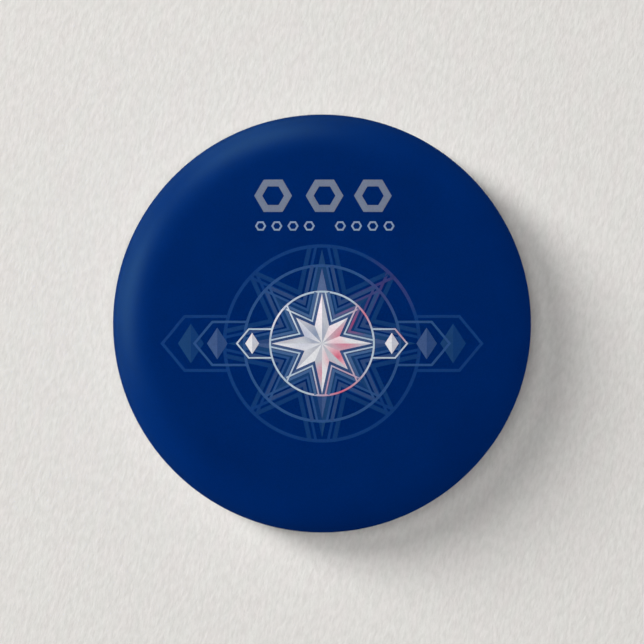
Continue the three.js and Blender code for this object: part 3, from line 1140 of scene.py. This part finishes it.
def sheet_material():
    """Off-white watercolour paper, its grain leaning off upright, seen only from the front."""
    paint = Paint("grained_paper")
    lean = (0, SHEET_GRAIN_LEAN, 0)
    fibres = paint.noise(3.4, detail=3.0, roughness=0.6, stretch=(1, 1, 2.4), turn=lean)
    tint = paint.noise(1.0, detail=2.0, stretch=(1, 1, 2.5), turn=lean)
    tone = paint.ramp(fibres, [(0.34, SHEET_FIBRES[0]), (0.66, SHEET_FIBRES[1])])
    tints = paint.ramp(tint, [(0.35, SHEET_TINTS[0]), (0.65, SHEET_TINTS[1])])
    paint.set(Base_Color=paint.blend(SHEET_TINT_SHARE, tone, tints), Roughness=0.9,
              Specular_IOR_Level=0.1, Normal=paint.bump(fibres, SHEET_RELIEF_UM))
    return paint.front_only(paint.surface.outputs[0])


def make_stage():
    """The sheet that the badge stands against and a floor far below it."""
    pin_back = max(box_mm(node)[1].y for node in ("pin_bar", "pin_needle", "catch_roller"))
    wall_y = pin_back + SHEET_GAP
    sheet = flat_square("stage_sheet", [
        (-SHEET_HALF, wall_y, STAGE_FLOOR_Z), (SHEET_HALF, wall_y, STAGE_FLOOR_Z),
        (SHEET_HALF, wall_y, SHEET_HALF), (-SHEET_HALF, wall_y, SHEET_HALF)])
    sheet.data.materials.append(sheet_material())
    sheet.visible_diffuse = False
    sheet.visible_glossy = False
    sheet.visible_transmission = False
    sheet.visible_shadow = False
    half = STAGE_FLOOR_HALF
    floor = flat_square("stage_floor", [
        (-half, -half, STAGE_FLOOR_Z), (half, -half, STAGE_FLOOR_Z),
        (half, half, STAGE_FLOOR_Z), (-half, half, STAGE_FLOOR_Z)])
    floor.visible_diffuse = False
    floor.visible_glossy = False
    floor.visible_shadow = False
    paint = Paint("pale_floor")
    mottle = paint.noise(0.05, detail=3.0)
    tone = paint.ramp(mottle, [(0.3, STAGE_FLOOR_TONES[0]), (0.7, STAGE_FLOOR_TONES[1])])
    floor.data.materials.append(paint.set(Base_Color=tone, Roughness=0.8))


make_stage()

# ---------- light ----------

KEY_CLOCK = 149
WHITE = (1.0, 1.0, 1.0)
SHEEN = (0.42, 1.0, 1.0)
SHEEN_SIZE = (300, 380)
RIM_TILT = 95
RIM_FILL_POWERS = (0.92, 0.10, 1.00, 0.10, 0.60, 0.82, 0.26, 0.40)
IN_FRONT = -1
BEHIND = 1


def area_light(name, position, size, power, colour=WHITE, diffuse=True, gloss=True, lit=None):
    """An oval soft box at position, aimed at the badge and unseen by the camera.

    size is its length away from the badge's axis and its width. With lit, it lights only those.
    """
    data = bpy.data.lights.new(name, "AREA")
    data.shape = "ELLIPSE"
    data.size_y, data.size = size[0] * MM, size[1] * MM
    data.energy = power
    data.color = colour
    light = bpy.data.objects.new(name, data)
    bpy.context.scene.collection.objects.link(light)
    light.location = Vector(position) * MM
    out = Vector(position).normalized()
    # a hair off +Y, so that a light straight in front of the face has an across as well
    across = out.cross(Vector((0, 1, 0.001))).normalized()
    light.rotation_euler = Matrix((across, out.cross(across), out)).transposed().to_euler()
    light.visible_camera = False
    light.visible_diffuse = diffuse
    light.visible_glossy = gloss
    if lit:
        chosen = bpy.data.collections.new(f"lit_by_{name}")
        for obj in lit:
            chosen.objects.link(obj)
        light.light_linking.receiver_collection = chosen


def around(tilt, clock, distance, side=IN_FRONT):
    """A point at a tilt in degrees from straight in front of the face or behind the back.

    clock is the way it tilts, in degrees from +X towards +Z.
    """
    tilt, clock = math.radians(tilt), math.radians(clock)
    out = distance * math.sin(tilt)
    return (out * math.cos(clock), side * distance * math.cos(tilt), out * math.sin(clock))


def make_front_lights(printed):
    """A long key from the upper left and a fill, which light all, and lights for the print only.

    The sheens are mirrored in the film's upper left rim; the others even out the face and the rim.
    """
    area_light("key", around(48, KEY_CLOCK, 1000), size=(800, 250), power=7.56, gloss=False)
    area_light("front_fill", around(4, KEY_CLOCK, 1000), size=(500, 190), power=3.98, gloss=False)
    area_light("rim_light", around(RIM_TILT, 163, 500), size=(240, 240), power=0.85, gloss=False,
               lit=printed)
    area_light("left_gloss", around(79, 170, 500), SHEEN_SIZE, power=7.2, colour=SHEEN,
               diffuse=False, lit=printed)
    area_light("upper_gloss", around(78, 112, 500), SHEEN_SIZE, power=6.8, colour=SHEEN,
               diffuse=False, lit=printed)
    area_light("print_fill", around(0, 0, 700), size=(150, 150), power=1.7, gloss=False,
               lit=printed)
    for n, power in enumerate(RIM_FILL_POWERS):
        clock = 360 / len(RIM_FILL_POWERS) * n
        area_light(f"rim_fill_{n}", around(RIM_TILT, clock, 400), size=(150, 150), power=power,
                   gloss=False, lit=printed)


def make_back_lights(metal, floor):
    """Lights behind the badge that reach its metal, and the floor for the largest of them."""
    area_light("back_key", around(40, 120, 600, BEHIND), size=(240, 240), power=1.6, lit=metal)
    area_light("back_side", around(60, -25, 500, BEHIND), size=(140, 140), power=0.25, lit=metal)
    area_light("back_top", around(55, 90, 900, BEHIND), size=(500, 500), power=5.0,
               lit=metal + floor)


def make_lights():
    """All the lights, once every piece and the stage exist to be lit by them."""
    slots = {obj: obj.get("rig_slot") for obj in bpy.context.scene.objects}
    printed = [obj for obj, slot in slots.items() if slot in ("clear_film", "printed_paper")]
    metal = [obj for obj, slot in slots.items()
             if slot in ("tinplate", "nickel_plate", "needle_steel")]
    floor = [obj for obj in bpy.context.scene.objects if obj.name == "stage_floor"]
    make_front_lights(printed)
    make_back_lights(metal, floor)


WORLD_FRONT = 0.04
WORLD_BACK = (0.50, 0.95)
WORLD_SEEN = 0.78
WORLD_SIDES = (-0.8, 0.8)
WORLD_EDGE = (-0.15, 0.30)


def make_world():
    """Dim in front of the face, pale behind it, palest towards the key light's side.

    The camera sees one even level. WORLD_EDGE is where dim turns to pale, along +Y, and
    WORLD_SIDES is where the pale part's two levels are reached, along the key light's side.
    """
    world = bpy.data.worlds.new("studio")
    bpy.context.scene.world = world
    world.use_nodes = True
    tree = world.node_tree

    def node(kind, **inputs):
        """A node; inputs are values or sockets, by name or as _ and a number."""
        made = tree.nodes.new("ShaderNode" + kind)
        for key, value in inputs.items():
            socket = made.inputs[int(key[1:]) if key[0] == "_" else key.replace("_", " ")]
            if isinstance(value, bpy.types.NodeSocket):
                tree.links.new(value, socket)
            else:
                socket.default_value = value
        return made

    direction = node("TexCoord").outputs["Generated"]
    lit_side = node("VectorMath", _0=direction, _1=around(90, KEY_CLOCK, 1))
    lit_side.operation = "DOT_PRODUCT"
    back = node("MapRange", Value=lit_side.outputs["Value"],
                From_Min=WORLD_SIDES[0], From_Max=WORLD_SIDES[1],
                To_Min=WORLD_BACK[0], To_Max=WORLD_BACK[1])
    depth = node("SeparateXYZ", _0=direction).outputs["Y"]
    level = node("MapRange", Value=depth, From_Min=WORLD_EDGE[0], From_Max=WORLD_EDGE[1],
                 To_Min=WORLD_FRONT, To_Max=back.outputs["Result"])
    seen = node("LightPath").outputs["Is Camera Ray"]
    pick = node("Mix", _0=seen, _2=level.outputs["Result"], _3=WORLD_SEEN)
    tree.links.new(pick.outputs[0], tree.nodes["Background"].inputs["Strength"])


make_lights()
make_world()
